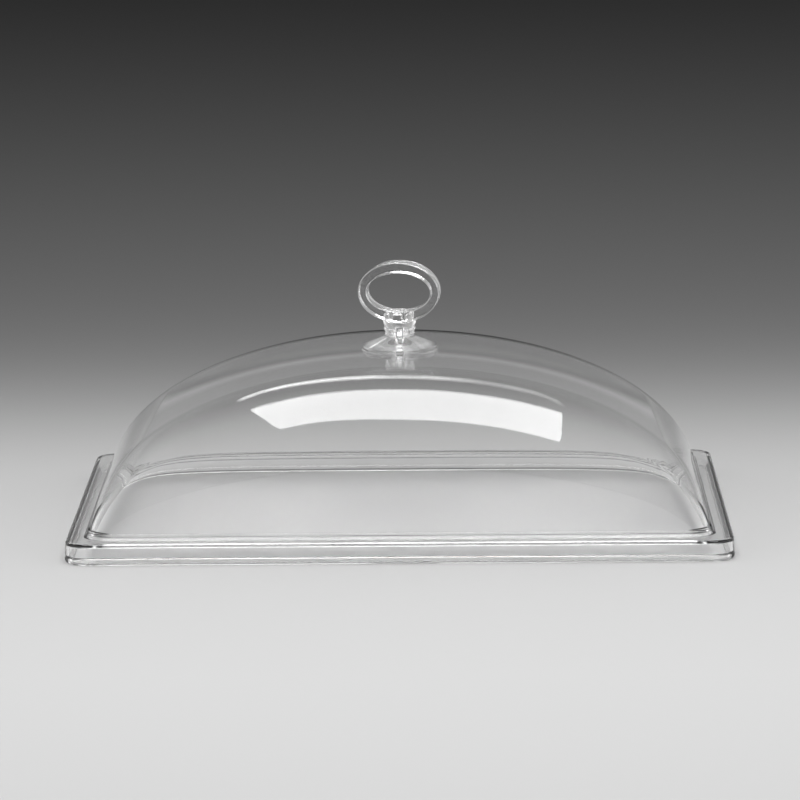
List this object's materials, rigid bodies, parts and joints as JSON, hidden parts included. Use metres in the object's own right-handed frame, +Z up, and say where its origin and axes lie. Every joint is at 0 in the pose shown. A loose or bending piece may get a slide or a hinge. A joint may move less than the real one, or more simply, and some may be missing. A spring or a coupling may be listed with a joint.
{
  "type": "food cover",
  "caption": "Clear rectangular vaulted food cover with a flat ledge and short skirt, lifted by an oval ring handle that turns on a central screw.",
  "frame": {"origin": "on the table under the middle of the cover", "axes": "+X along the cover's length to the viewer's right, +Y towards its back, +Z up"},
  "size_m": [0.53, 0.325, 0.2125],
  "materials": {
    "clear_acrylic": "clear, polished",
    "handle_acrylic": "clear, polished",
    "clear_seal": "clear, soft"
  },
  "bodies": {
    "cover": {"cover_shell": "clear_acrylic", "seal_washer": "clear_seal", "inner_washer": "clear_acrylic"},
    "handle": {"handle_screw": "handle_acrylic", "handle_neck": "handle_acrylic", "handle_crown": "handle_acrylic", "handle_ring": "handle_acrylic"}
  },
  "joints": [
    {"name": "handle_turn", "type": "hinge", "parent": "cover", "child": "handle", "pos_m": [0, 0, 0.142], "axis": [0, 0, 1], "continuous": true}
  ]
}
